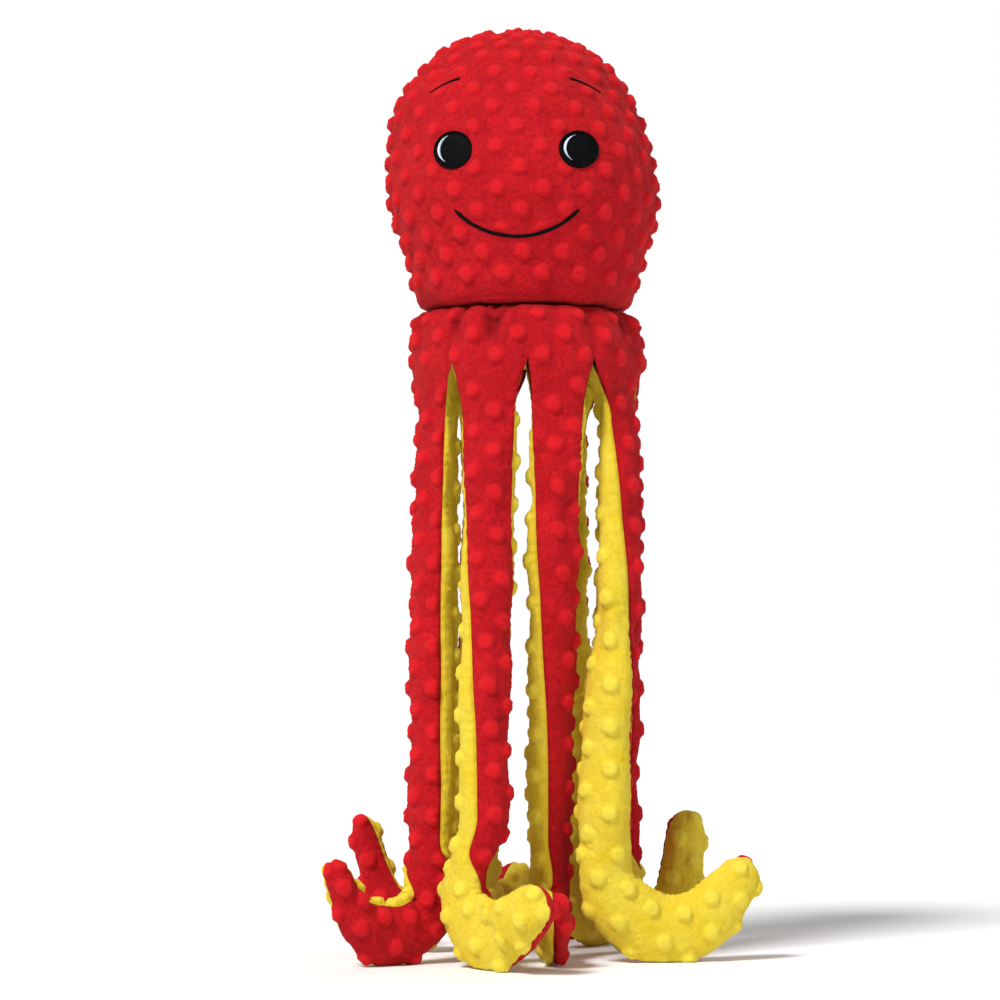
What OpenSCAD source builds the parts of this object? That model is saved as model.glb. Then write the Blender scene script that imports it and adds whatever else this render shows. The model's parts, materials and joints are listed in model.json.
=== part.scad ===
// Plush octopus: a stuffed round head on a gathered skirt, over eight stuffed arms with hooked feet.
// Millimetres, +Z up, standing on its feet with the face towards -Y.

/* [Head] */
// Height of the head above the neck seam
head_h = 171; // [145:1:205]
// Largest radius of the head's fabric
head_r = 80; // [74:1:96]
// Radius of the neck seam
neck_r = 61; // [56:1:63]

/* [Face] */
// Diameter of each embroidered eye
eye_d = 23; // [16:1:28]
// Height of the eyes above the neck seam
eye_h = 89; // [76:1:100]
// Radius of the smile's curve
smile_r = 48; // [38:1:52]
// Width of the embroidered lines
line_w = 2; // [1.5:0.1:3]

/* [Skirt] */
// Height of the skirt between the neck seam and the tops of the arms
skirt_h = 27; // [22:1:34]
// How far the tops of the arms stand out past the skirt
arm_proud = 0.5; // [0:0.1:3]

/* [Arms] */
// Length of an arm from its hinge line to the floor
arm_h = 344; // [280:1:420]
// Width of an arm across its two seams
arm_w = 31; // [24:1:33]
// Thickness of an arm from its red face to its yellow face
arm_t = 25; // [18:1:26]
// Distance from the centre line to each arm's hinge line
ring_r = 56; // [52:1:67]
// Width of the foot across its sole
foot_w = 37; // [30:1:42]

/* [Fabric] */
// Thickness of the plush with its pile
plush_t = 1.6; // [1:0.1:2.2]
// How far embroidery stands out from the plush
thread_t = 0.8; // [0.4:0.1:1.2]

/* [Hidden] */

$fn = 96;
red = [0.87, 0.1, 0.12];
yellow = [0.96, 0.87, 0.35];
black = [0.05, 0.05, 0.06];
white = [0.8, 0.85, 0.95];
stuffing = [0.94, 0.94, 0.92];

gap = 0.5;          // free space between pieces that move past each other
fill_gap = 0.2;     // free space between stuffing and plush
far = 400;          // longer than any cut needs

skirt_r = ring_r + arm_t / 2 - arm_proud;
hinge_z = arm_h;
skirt_z = hinge_z + arm_t / 2 + 2 * gap;
neck_z = skirt_z + skirt_h;
head_z = neck_z + gap;

// ---------- head: one outline turned about the centre line ----------

// [share of the largest radius, share of the height]; the first point is the neck
head_shape = [[0.78, 0.04], [0.83, 0.15], [0.91, 0.25], [0.98, 0.38], [1, 0.47], [0.99, 0.54],
    [0.955, 0.61], [0.92, 0.675], [0.87, 0.74], [0.8, 0.8], [0.71, 0.86], [0.58, 0.915],
    [0.44, 0.945], [0.3, 0.968], [0.16, 0.985], [0.05, 1]];

function head_line(inset) = concat(
    [[neck_r - inset, head_z]],
    [for (p = head_shape) [head_r * p[0] - inset * min(1, 3 * (1 - p[1])),
                           head_z + head_h * p[1] - inset * max(0, (p[1] - 0.5) * 2)]]);

module head_outline(inset) {
    edge = head_line(inset);
    polygon(concat([[0, head_z]], edge, [[0, edge[len(edge) - 1][1]]]));
}

// A panel of the head between two angles, measured from +X
module head_panel(from, to) {
    rotate([0, 0, from]) rotate_extrude(angle = to - from) difference() {
        head_outline(0);
        head_outline(plush_t);
        translate([0, head_z - far]) square([far, far + plush_t]);
    }
}

side_seam = 10;     // angle of the front panel's seams behind the widest point
module head_front_panel() { color(red) head_panel(180 - side_seam, 360 + side_seam); }
module head_back_right_panel() { color(red) head_panel(side_seam, 90); }
module head_back_left_panel() { color(red) head_panel(90, 180 - side_seam); }

module head_base_disc() {
    color(red) rotate_extrude() intersection() {
        head_outline(0);
        translate([0, head_z]) square([far, plush_t]);
    }
}

module head_stuffing() {
    color(stuffing) rotate_extrude() difference() {
        head_outline(plush_t + fill_gap);
        translate([0, head_z - far]) square([far, far + plush_t + fill_gap]);
    }
}

// ---------- face: thin embroidery on the head ----------

face_turn = -3.3;   // the face looks a little to its own right
eye_gap = 27;       // angle of each eye from the middle of the face
face_r = 0.99 * head_r;
eye_z = neck_z + eye_h;
eye_x = face_r * sin(eye_gap);
rim_w = 1.2;
brow_r = 24;
brow_rise = 15;     // the arc's middle above the eye's top edge
smile_z = eye_z - 2; // centre of the smile's curve

// Keeps what stands in front of the head's own surface, between two heights above the plush
module on_face(low, high) {
    rotate([0, 0, face_turn]) intersection() {
        rotate_extrude() difference() {
            head_outline(-high);
            head_outline(-low);
        }
        children();
    }
}

// A flat shape in X and Z pushed back through the front half of the head
module through_face() {
    rotate([90, 0, 0]) linear_extrude(far) children();
}

module eye_spot(side, d) { translate([side * eye_x, eye_z]) circle(d = d); }

module eye(side) {
    color(black) on_face(0, thread_t) through_face() eye_spot(side, eye_d - 2 * rim_w);
}

module eye_rim(side) {
    color(black) on_face(0, 1.3 * thread_t) through_face() difference() {
        eye_spot(side, eye_d);
        eye_spot(side, eye_d - 2 * rim_w);
    }
}

module eye_glint(side) {
    color(white) on_face(thread_t, 1.5 * thread_t) through_face() difference() {
        eye_spot(side, eye_d - 4 * rim_w);
        translate([1.6, -0.3]) eye_spot(side, eye_d - 4 * rim_w);
        translate([side * eye_x + 1, eye_z - far / 2]) square(far);
    }
}

// Part of a ring from one angle to another
module arc_band(r, w, from, to) {
    intersection() {
        difference() {
            circle(r = r + w / 2);
            circle(r = r - w / 2);
        }
        polygon([[0, 0], 2 * r * [cos(from), sin(from)],
            2 * r * [cos((from + to) / 2), sin((from + to) / 2)], 2 * r * [cos(to), sin(to)]]);
    }
}

module brow(side) {
    lean = side > 0 ? 70 : 115;
    color(black) on_face(0, thread_t) through_face()
        translate([side * (eye_x + 2), eye_z + eye_d / 2 + brow_rise - brow_r + 8])
            arc_band(brow_r, 0.75 * line_w, lean - 20, lean + 20);
}

module smile_line() {
    color(black) on_face(0, thread_t) through_face()
        translate([0, smile_z]) arc_band(smile_r, line_w, 222, 318);
}

// ---------- skirt: the gathered band that the arms hang from ----------

skirt_shape = [[skirt_r, skirt_z], [skirt_r, skirt_z + 0.35 * skirt_h],
    [(skirt_r + neck_r) / 2 + 1, skirt_z + 0.75 * skirt_h], [neck_r, neck_z]];

module skirt_outline(inset) {
    translate([-inset, 0]) polygon(concat([[inset, skirt_z]], skirt_shape, [[inset, neck_z]]));
}

module skirt_band() {
    color(red) rotate_extrude() difference() {
        skirt_outline(0);
        skirt_outline(plush_t);
    }
}

module skirt_floor() {
    color(yellow) rotate_extrude() intersection() {
        skirt_outline(plush_t);
        translate([0, skirt_z]) square([far, plush_t]);
    }
}

module skirt_stuffing() {
    color(stuffing) rotate_extrude() difference() {
        skirt_outline(plush_t + fill_gap);
        translate([0, skirt_z - far]) square([far, far + plush_t + fill_gap]);
    }
}

// ---------- arms: each a section swept down the leg and round the hooked foot ----------

// [place on the ring, way it swings, ankle x, ankle y, turn at the knee, turn at the foot,
//  radius at the heel, radius of the sole, degrees of the hook, straight toe]
// Angles start at the front and grow towards +X; a turn is seen from above.
front_left = [-20, -20, -26, -67, 76, 138, 24, 38, 124, 22];
front_right = [20, 0, 16, -16, 74, 91, 30, 33, 132, 12];
right_front = [62, 62, 46, -42, 88, 128, 38, 39, 138, 19];
right_back = [110, 110, 53, 27, 30, 90, 20, 21, 172, 37];
back_right = [157, 157, 24, 50, 20, 78, 34, 34, 135, 16];
back_left = [-157, -157, -30, 52, 20, 48, 34, 34, 135, 16];
left_back = [-110, -110, -53, 30, 30, 90, 19, 19, 165, 42];
left_front = [-63, -63, -52, -38, 8, 98, 23, 38, 148, 16];

sole_sink = 2;      // how much of the foot's round underside is pressed flat
toe_w = 0.62;       // the toe's width as a share of the sole's
toe_round = 14;     // length of the toe's rounded end
knee = 0.82;        // share of the leg where its slow turn ends
ankle = 0.92;       // share of the leg where the foot's turn starts
heel = 75;          // degrees of the hook bent at the heel's radius
sole_end = 100;     // degrees of the hook where the foot starts to narrow
half_points = 6;    // points along one face of the section
cap_rings = 4;
leg_rings = 9;
hook_rings = 7;
toe_rings = 4;
ring_count = cap_rings + leg_rings + hook_rings + toe_rings;

function ease(t) = let(u = max(0, min(1, t))) u * u * (3 - 2 * u);
function mix(a, b, t) = a + (b - a) * t;
function flat_dir(angle) = [cos(angle), sin(angle), 0];

// Angle of the arm's width direction, measured from +X, at a share u down the leg
function width_angle(arm, u) = arm[1] - 180
    + arm[4] * ease(u / knee) + (arm[5] - arm[4]) * ease((u - ankle) / (1 - ankle));

function hinge_at(arm) = [ring_r * sin(arm[0]), -ring_r * cos(arm[0]), hinge_z];
function hook_z(arm) = foot_w / 2 - sole_sink + arm[6] * sin(heel) + arm[7] * (1 - sin(heel));

// One ring: [centre, width direction, thickness direction, half width, half thickness]
function cap_ring(arm, t) = let(a = 80 * (1 - t), w = flat_dir(width_angle(arm, 0)))
    [hinge_at(arm) + [0, 0, arm_t / 2 * sin(a)], w, flat_dir(width_angle(arm, 0) + 90),
     arm_w / 2 * mix(0.8, 1, cos(a)), arm_t / 2 * cos(a)];

function leg_ring(arm, t) = let(h = hinge_at(arm), w = width_angle(arm, t))
    [[mix(h[0], arm[2], ease(t)), mix(h[1], arm[3], ease(t)), mix(hinge_z, hook_z(arm), t)],
     flat_dir(w), flat_dir(w + 90), mix(arm_w, arm_w + 2, t) / 2, arm_t / 2];

// Unit vector from the middle of the hook's curve, b degrees round it
function spoke(arm, b) = -cos(b) * flat_dir(width_angle(arm, 1)) - sin(b) * [0, 0, 1];

function hook_ring(arm, t) = let(b = arm[8] * t, turned = spoke(arm, min(b, heel)))
    [[arm[2], arm[3], hook_z(arm)] + arm[6] * (turned - spoke(arm, 0)) + arm[7] * (spoke(arm, b) - turned)
         * (b > heel ? 1 : 0),
     -spoke(arm, b), flat_dir(width_angle(arm, 1) + 90),
     (b < heel ? mix(arm_w + 2, foot_w, ease(b / heel))
        : mix(foot_w, foot_w * toe_w, ease((b - sole_end) / (arm[8] - sole_end)))) / 2,
     arm_t / 2 * mix(1, 0.9, t)];

function toe_ring(arm, t) = let(e = hook_ring(arm, 1), f = flat_dir(width_angle(arm, 1)),
    way = sin(arm[8]) * f - cos(arm[8]) * [0, 0, 1], a = 84 * t)
    [e[0] + way * (arm[9] * ease(t * 1.4) + toe_round * sin(a)), e[1], e[2], e[3] * cos(a), e[4] * cos(a)];

function ring(arm, i) =
    i < cap_rings ? cap_ring(arm, i / cap_rings) :
    i < cap_rings + leg_rings ? leg_ring(arm, (i - cap_rings) / leg_rings) :
    i < cap_rings + leg_rings + hook_rings ? hook_ring(arm, (i - cap_rings - leg_rings) / hook_rings) :
    toe_ring(arm, (i - cap_rings - leg_rings - hook_rings) / toe_rings);

// A point of the section at angle a, a wall's thickness inside the surface and above the sole
function section_point(r, a, wall) =
    let(p = r[0] + r[1] * max(0.1 * r[3], r[3] - wall) * cos(a) + r[2] * max(0.1 * r[4], r[4] - wall) * sin(a))
    wall > 0 ? [p[0], p[1], max(wall, p[2])] : p;

// Faces of a tube of rings with n points each, closed at both ends
function side_faces(n, count, flip) = [for (i = [0:count - 2]) for (j = [0:n - 1])
    let(a = i * n + j, b = i * n + (j + 1) % n, c = b + n, d = a + n)
    each flip ? [[a, b, c], [a, c, d]] : [[a, c, b], [a, d, c]]];

// A skin's end is a strip between its outer and its inner edge
function strip_end(n, start, flip) = [for (j = [0:n / 2 - 2])
    let(a = start + j, b = start + j + 1, c = start + n - 2 - j, d = start + n - 1 - j)
    each flip ? [[a, b, c], [a, c, d]] : [[a, c, b], [a, d, c]]];

function fan_end(n, start, flip) = [for (j = [1:n - 2])
    flip ? [start, start + j, start + j + 1] : [start, start + j + 1, start + j]];

// Presses whatever would reach below the floor into a flat sole
module above_floor() {
    difference() {
        children();
        translate([-far, -far, -far]) cube([2 * far, 2 * far, far]);
    }
}

// side is 1 for the outward red face and -1 for the yellow lining
module arm_skin(arm, side, shade) {
    n = 2 * half_points;
    last = ring_count;
    points = [for (i = [0:last]) let(r = ring(arm, i)) for (j = [0:n - 1])
        let(k = j < half_points ? j : n - 1 - j, a = side * 180 * k / (half_points - 1))
        section_point(r, a, j < half_points ? 0 : plush_t)];
    color(shade) above_floor() polyhedron(points, concat(side_faces(n, last + 1, side < 0),
        strip_end(n, 0, side > 0), strip_end(n, last * n, side < 0)));
}

module arm_core(arm) {
    n = 10;
    first = 2;
    last = ring_count - 2;
    points = [for (i = [first:last]) let(r = ring(arm, i)) for (j = [0:n - 1])
        section_point(r, 360 * j / n, plush_t + 5 * fill_gap)];
    color(stuffing) polyhedron(points, concat(side_faces(n, last - first + 1, false),
        fan_end(n, 0, true), fan_end(n, (last - first) * n, false)));
}

head_front_panel();
head_back_left_panel();
head_back_right_panel();
head_base_disc();
head_stuffing();
eye(-1);  // left_eye
eye(1);  // right_eye
eye_rim(-1);  // left_eye_rim
eye_rim(1);  // right_eye_rim
eye_glint(-1);  // left_eye_glint
eye_glint(1);  // right_eye_glint
brow(-1);  // left_brow
brow(1);  // right_brow
smile_line();  // smile
skirt_band();
skirt_floor();
skirt_stuffing();
arm_skin(front_left, 1, red);  // front_left_arm_face
arm_skin(front_left, -1, yellow);  // front_left_arm_lining
arm_core(front_left);  // front_left_arm_stuffing
arm_skin(front_right, 1, red);  // front_right_arm_face
arm_skin(front_right, -1, yellow);  // front_right_arm_lining
arm_core(front_right);  // front_right_arm_stuffing
arm_skin(right_front, 1, red);  // right_front_arm_face
arm_skin(right_front, -1, yellow);  // right_front_arm_lining
arm_core(right_front);  // right_front_arm_stuffing
arm_skin(right_back, 1, red);  // right_back_arm_face
arm_skin(right_back, -1, yellow);  // right_back_arm_lining
arm_core(right_back);  // right_back_arm_stuffing
arm_skin(back_right, 1, red);  // back_right_arm_face
arm_skin(back_right, -1, yellow);  // back_right_arm_lining
arm_core(back_right);  // back_right_arm_stuffing
arm_skin(back_left, 1, red);  // back_left_arm_face
arm_skin(back_left, -1, yellow);  // back_left_arm_lining
arm_core(back_left);  // back_left_arm_stuffing
arm_skin(left_back, 1, red);  // left_back_arm_face
arm_skin(left_back, -1, yellow);  // left_back_arm_lining
arm_core(left_back);  // left_back_arm_stuffing
arm_skin(left_front, 1, red);  // left_front_arm_face
arm_skin(left_front, -1, yellow);  // left_front_arm_lining
arm_core(left_front);  // left_front_arm_stuffing
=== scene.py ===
import json
import math

import bmesh
import bpy
import numpy as np
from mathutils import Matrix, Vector
from mathutils.bvhtree import BVHTree


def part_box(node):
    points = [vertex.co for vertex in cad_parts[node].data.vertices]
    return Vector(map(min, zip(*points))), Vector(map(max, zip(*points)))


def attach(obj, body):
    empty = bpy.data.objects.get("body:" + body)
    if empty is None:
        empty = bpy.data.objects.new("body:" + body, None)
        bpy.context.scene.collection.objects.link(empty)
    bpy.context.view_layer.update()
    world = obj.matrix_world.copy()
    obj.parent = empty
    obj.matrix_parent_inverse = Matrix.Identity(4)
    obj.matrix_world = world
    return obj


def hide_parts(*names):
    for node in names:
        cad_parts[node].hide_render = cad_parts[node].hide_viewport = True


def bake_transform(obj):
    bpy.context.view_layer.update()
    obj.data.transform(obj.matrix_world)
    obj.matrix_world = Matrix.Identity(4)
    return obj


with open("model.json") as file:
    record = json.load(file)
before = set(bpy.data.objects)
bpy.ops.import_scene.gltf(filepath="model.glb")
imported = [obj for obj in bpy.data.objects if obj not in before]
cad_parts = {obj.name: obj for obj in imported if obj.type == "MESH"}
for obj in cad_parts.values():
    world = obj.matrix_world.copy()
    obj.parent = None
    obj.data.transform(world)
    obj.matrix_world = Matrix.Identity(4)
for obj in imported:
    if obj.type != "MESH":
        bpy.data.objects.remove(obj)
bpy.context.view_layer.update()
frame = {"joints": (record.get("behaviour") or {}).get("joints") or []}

mm = 0.001
tau = 2 * math.pi
scene = bpy.context.scene
rng = np.random.default_rng(8)

# heights and radii that the CAD settles, in metres
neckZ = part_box("skirt_band")[1].z
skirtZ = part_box("skirt_floor")[0].z
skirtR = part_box("skirt_band")[1].x
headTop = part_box("head_front_panel")[1].z
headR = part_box("head_front_panel")[1].x
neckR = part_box("head_base_disc")[1].x
hinges = {j["child"]: Vector(j["pos_m"]) for j in frame["joints"]}

plushLook = {"dotReach": 6.2 * mm, "dotRise": 2.6 * mm, "pitchAcross": 26.6 * mm, "pitchAlong": 24.9 * mm,
    "dotMargin": 5.2 * mm, "seamClear": 4 * mm, "seamWidth": 2.6 * mm, "seamShadow": 2.5 * mm, "fuzz": 0.15 * mm}
stitchLook = {"pitch": 0.9 * mm, "ridge": 0.1 * mm}


def ease(t):
    t = np.clip(t, 0, 1)
    return t * t * (3 - 2 * t)


def mix(a, b, t):
    return a + (b - a) * t


def flatDir(angle):
    return np.stack([np.cos(angle), np.sin(angle), np.zeros_like(angle)], -1)


def onDisc(x, y):   # bends a square grid into a round one
    return x * math.sqrt(1 - y * y / 2), y * math.sqrt(1 - x * x / 2)


def aim(obj, target):
    obj.rotation_euler = (Vector(target) - obj.location).to_track_quat("-Z", "Y").to_euler()


def buildStage():
    look = {"cameraAt": (-0.014, -2.0, 0.18), "lookAt": (-0.014, 0, 0.273), "lens": 120, "roomLight": 0.23,
        "floorSize": 12, "floorTone": 0.9}
    camera = bpy.data.objects.new("camera", bpy.data.cameras.new("camera"))
    camera.location = look["cameraAt"]
    camera.data.lens = look["lens"]
    camera.data.clip_end = 50
    aim(camera, look["lookAt"])
    scene.collection.objects.link(camera)
    scene.camera = camera

    suns = {
        "key": {"from": (-0.7, -0.9, 1.35), "strength": 3.4, "angle": 16},
        "fill": {"from": (1.0, -1.1, 0.35), "strength": 0.6, "angle": 50},
        "rear": {"from": (0.5, 1.0, 1.3), "strength": 0.7, "angle": 60},
    }
    for name, sun in suns.items():
        data = bpy.data.lights.new(name, "SUN")
        data.energy = sun["strength"]
        data.angle = math.radians(sun["angle"])
        obj = bpy.data.objects.new(name, data)
        obj.location = sun["from"]
        aim(obj, (0, 0, 0))
        scene.collection.objects.link(obj)

    world = bpy.data.worlds.new("paleRoom")
    world.use_nodes = True
    nodes, links = world.node_tree.nodes, world.node_tree.links
    room = nodes["Background"]
    room.inputs["Color"].default_value = (1, 1, 1, 1)
    room.inputs["Strength"].default_value = look["roomLight"]
    wall = nodes.new("ShaderNodeBackground")
    wall.inputs["Color"].default_value = (1, 1, 1, 1)
    seen = nodes.new("ShaderNodeLightPath")
    either = nodes.new("ShaderNodeMixShader")
    links.new(seen.outputs["Is Camera Ray"], either.inputs[0])
    links.new(room.outputs[0], either.inputs[1])
    links.new(wall.outputs[0], either.inputs[2])
    links.new(either.outputs[0], nodes["World Output"].inputs["Surface"])
    scene.world = world
    scene.view_settings.view_transform = "Standard"

    bm = bmesh.new()
    bmesh.ops.create_grid(bm, x_segments=1, y_segments=1, size=look["floorSize"])
    floor = meshObject("floor", bm)
    paint = bpy.data.materials.new("paleFloor")
    paint.use_nodes = True
    shader = paint.node_tree.nodes["Principled BSDF"]
    shader.inputs["Base Color"].default_value = (*[look["floorTone"]] * 3, 1)
    shader.inputs["Roughness"].default_value = 0.9
    floor.data.materials.append(paint)


def meshObject(name, bm):
    mesh = bpy.data.meshes.new(name)
    bm.to_mesh(mesh)
    bm.free()
    obj = bpy.data.objects.new(name, mesh)
    scene.collection.objects.link(obj)
    return obj


def getPoints(mesh):
    co = np.empty(len(mesh.vertices) * 3)
    mesh.vertices.foreach_get("co", co)
    return co.reshape(-1, 3)


def setPoints(mesh, co):
    mesh.vertices.foreach_set("co", np.asarray(co, float).ravel())
    mesh.update()


def getNormals(mesh):
    n = np.empty(len(mesh.vertices) * 3)
    mesh.vertex_normals.foreach_get("vector", n)
    return n.reshape(-1, 3)


def smoothShade(mesh):
    mesh.polygons.foreach_set("use_smooth", [True] * len(mesh.polygons))


def wrapGrid(name, cols, along, place, panelOf, seamCols, seamCrease):
    rows = len(along) - 1
    bm = bmesh.new()
    bmesh.ops.create_grid(bm, x_segments=cols, y_segments=rows, size=0.5)
    uv = bm.loops.layers.uv.new("cloth")
    creases = bm.edges.layers.float.new("crease_edge")
    col = np.array([round((v.co.x + 0.5) * cols) for v in bm.verts])
    row = np.array([round((v.co.y + 0.5) * rows) for v in bm.verts])
    spot = place(col / cols, np.asarray(along)[row])
    for face in bm.faces:
        for loop in face.loops:
            i = loop.vert.index
            loop[uv].uv = (col[i] / cols, along[row[i]])
        mid = sum(col[v.index] for v in face.verts) / len(face.verts)
        face.material_index = panelOf(mid / cols)
        face.smooth = True
    for edge in bm.edges:
        a, b = (v.index for v in edge.verts)
        if col[a] == col[b] and col[a] % cols in seamCols:
            edge[creases] = seamCrease
    for v, p in zip(bm.verts, spot):
        v.co = p
    bmesh.ops.remove_doubles(bm, verts=bm.verts, dist=1e-6)
    bmesh.ops.recalc_face_normals(bm, faces=bm.faces)
    return meshObject(name, bm)


def clothShares(mesh):   # the share around and the metres along, for each vertex
    loops = len(mesh.loops)
    uv = np.empty(loops * 2)
    mesh.uv_layers["cloth"].data.foreach_get("uv", uv)
    vert = np.empty(loops, int)
    mesh.loops.foreach_get("vertex_index", vert)
    shares = np.zeros((len(mesh.vertices), 2))
    shares[vert] = uv.reshape(-1, 2)
    return shares[:, 0], shares[:, 1]


def subdivide(obj, levels):
    mod = obj.modifiers.new("smooth", "SUBSURF")
    mod.levels = levels
    mod.render_levels = levels
    mod.uv_smooth = "NONE"
    bakeModifiers(obj)


def bakeModifiers(obj):
    done = bpy.data.meshes.new_from_object(obj.evaluated_get(bpy.context.evaluated_depsgraph_get()))
    obj.modifiers.clear()
    old = obj.data
    obj.data = done
    bpy.data.meshes.remove(old)


def addMask(mesh, name, values):
    layer = mesh.attributes.new(name, "FLOAT", "POINT")
    layer.data.foreach_set("value", np.asarray(values, np.float32))


def takePanel(obj, index, name):
    bm = bmesh.new()
    bm.from_mesh(obj.data)
    others = [f for f in bm.faces if f.material_index != index]
    bmesh.ops.delete(bm, geom=others, context="FACES")
    for face in bm.faces:
        face.material_index = 0
    return meshObject(name, bm)


stuffed = []   # every soft form waits here and is puffed together


def queueStuffing(obj, pinned, seams, cap):
    stuffed.append((obj, pinned, seams, cap))


def puffAll():
    look = {"pressure": 3.0, "frames": 16, "quality": 6, "mass": 0.08, "tension": 12, "compression": 8, "shear": 4,
        "bending": 0.12, "pinStiffness": 4, "seamShrink": 0.08}
    kept = {}
    for obj, pinned, seams, cap in stuffed:
        kept[obj.name] = getPoints(obj.data)
        for groupName, weights in (("pin", pinned), ("seam", seams)):
            group = obj.vertex_groups.new(name=groupName)
            for i in np.nonzero(weights > 0)[0]:
                group.add([int(i)], float(weights[i]), "REPLACE")
        cloth = obj.modifiers.new("cloth", "CLOTH")
        s = cloth.settings
        s.quality = look["quality"]
        s.mass = look["mass"]
        s.tension_stiffness = look["tension"]
        s.compression_stiffness = look["compression"]
        s.shear_stiffness = look["shear"]
        s.bending_stiffness = look["bending"]
        s.use_pressure = True
        s.uniform_pressure_force = look["pressure"]
        s.vertex_group_mass = "pin"
        s.pin_stiffness = look["pinStiffness"]
        s.vertex_group_shrink = "seam"
        s.shrink_min = 0
        s.shrink_max = look["seamShrink"]
        s.effector_weights.gravity = 0
        cloth.collision_settings.use_collision = False
        cloth.collision_settings.use_self_collision = False
        cloth.point_cache.frame_start = 1
        cloth.point_cache.frame_end = look["frames"]
    for f in range(1, look["frames"] + 1):
        scene.frame_set(f)
    graph = bpy.context.evaluated_depsgraph_get()
    for obj, pinned, seams, cap in stuffed:
        rest = kept[obj.name]
        now = getPoints(obj.evaluated_get(graph).data)
        move = now - rest
        size = np.linalg.norm(move, axis=1)
        print("puffed", obj.name, "mean", round(size.mean() / mm, 2), "most", round(size.max() / mm, 2))
        move *= (cap * np.tanh(size / cap) / np.maximum(size, 1e-9))[:, None]
        rest = rest + move
        obj.modifiers.clear()
        obj.vertex_groups.clear()
        setPoints(obj.data, rest)
    scene.frame_set(1)


def latticeDots(across, start, along, offset):   # raised dots, as metres from a panel's middle and along it
    spots = []
    count = int(along / plushLook["pitchAlong"] * 2) + 2
    for j in range(-1, count):
        y = (j / 2 + offset) * plushLook["pitchAlong"]
        for i in range(-4, 5):
            x = (i + 0.5 * (j % 2) + offset * 0.6 - 0.3) * plushLook["pitchAcross"]
            if abs(x) < across / 2 - plushLook["dotMargin"] and start < y < along:
                spots.append((x, y))
    return np.array(spots)


def nearest(points, centres):
    best = np.full(len(points), 1.0)
    for c in centres:
        best = np.minimum(best, np.linalg.norm(points - c, axis=1))
    return best


def pillow(distance, radius):   # 1 on a dot's flat top, 0 past its foot
    return ease((1 - distance / radius) * 1.8)


def smoothNoise(points, scale, seed):   # crossed sine waves, a soft uneven field from -1 to 1
    r = np.random.default_rng(seed)
    total = np.zeros(len(points))
    for _ in range(6):
        way = r.normal(size=3)
        way *= tau / scale / np.linalg.norm(way) * r.uniform(0.6, 1.5)
        total += np.sin(points @ way + r.uniform(0, tau))
    return total / 3.2


armShape = {"width": 31 * mm, "thick": 25 * mm, "footWidth": 38, "soleSink": 2 * mm, "toeRound": 14 * mm,
    "knee": 0.82, "ankle": 0.92, "heel": math.radians(75), "soleEnd": math.radians(98),
    "seamForward": 18, "seamFoot": 7, "cols": 24, "redCols": 10, "rowGap": 4.4 * mm, "kickFrom": 0.86,
    "toeSteps": 5, "hollow": 44 * mm, "redWide": 40 * mm, "yellowWide": 50 * mm}
# angles in degrees, 0 at the front and growing to the right; lengths in mm
# swing: the way the arm hangs out; turns: how far the section has turned at the knee and at the foot
# hook: radius at the heel, radius of the sole, degrees bent, straight toe; toe: its width as a share of the foot's
# bow: how far the leg bulges outwards; kick: the foot pushed aside; roll: the foot rolled to show its lining
# foot: a foot wider than most; sector: the arm's share of the skirt
arms = {
    "front_left": {"swing": -20, "ankle": (-22, -67), "turns": (76, 148), "hook": (24, 38, 122, 26), "toe": 0.7,
        "bow": 0, "kick": (-15, 3), "foot": 42, "sector": (-41, 0)},
    "front_right": {"swing": 0, "ankle": (15, -16), "turns": (74, 91), "hook": (30, 33, 132, 12), "toe": 0.62,
        "bow": 1, "sector": (0, 35)},
    "right_front": {"swing": 62, "ankle": (45, -42), "turns": (88, 128), "hook": (38, 39, 138, 22), "toe": 0.72,
        "bow": 10, "foot": 42, "sector": (35, 86)},
    "right_back": {"swing": 110, "ankle": (54, 27), "turns": (5, 90), "hook": (20, 21, 173, 37), "toe": 0.62,
        "bow": 7, "sector": (86, 133)},
    "back_right": {"swing": 157, "ankle": (24, 50), "turns": (20, 78), "hook": (34, 34, 135, 16), "toe": 0.62,
        "bow": 0, "sector": (133, 180)},
    "back_left": {"swing": -157, "ankle": (-29, 52), "turns": (20, 48), "hook": (34, 34, 135, 16), "toe": 0.62,
        "bow": 0, "sector": (-180, -133)},
    "left_back": {"swing": -110, "ankle": (-51, 30), "turns": (30, 90), "hook": (19, 19, 167, 39), "toe": 0.42,
        "bow": 0, "sector": (-133, -86)},
    "left_front": {"swing": -63, "ankle": (-52, -38), "turns": (8, 98), "hook": (23, 38, 148, 16), "toe": 0.5,
        "bow": 0, "roll": 20, "sector": (-86, -41)},
}

# the skirt's radius past the neck's, in mm, at each drop below the neck
skirtLine = {"drop": [0, 0.6, 2.4, 6, 11, 20, 32, 60], "radius": [-1, 1.4, 3.2, 4.9, 6.4, 7.9, 8.2, 7.8],
    "aside": 2.4 * mm}
slitDrop = 33 * mm   # the slits start this far below the neck
slits = np.radians([a["sector"][0] for a in arms.values()])
skirtWaves = [(9, 0.9, 0.4), (14, 1.5, 2.1), (21, 1.2, 4.4), (34, 0.6, 1.2)]   # count around, mm, phase
skirtTucks = {"count": 26, "wide": (1.8, 3.6), "deep": (2.2, 4.6), "long": (9, 22), "slant": 0.25}   # in mm
skirtPinch = {"wide": 3.2 * mm, "long": 9 * mm, "deep": 1.8 * mm}   # above each slit


def skirtPoint(angle, drop):
    r = neckR + np.interp(drop, np.array(skirtLine["drop"]) * mm, np.array(skirtLine["radius"]) * mm)
    aside = skirtLine["aside"] * ease(drop / (25 * mm))
    return np.stack([r * np.sin(angle) + aside, -r * np.cos(angle), neckZ - drop], -1)


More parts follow.
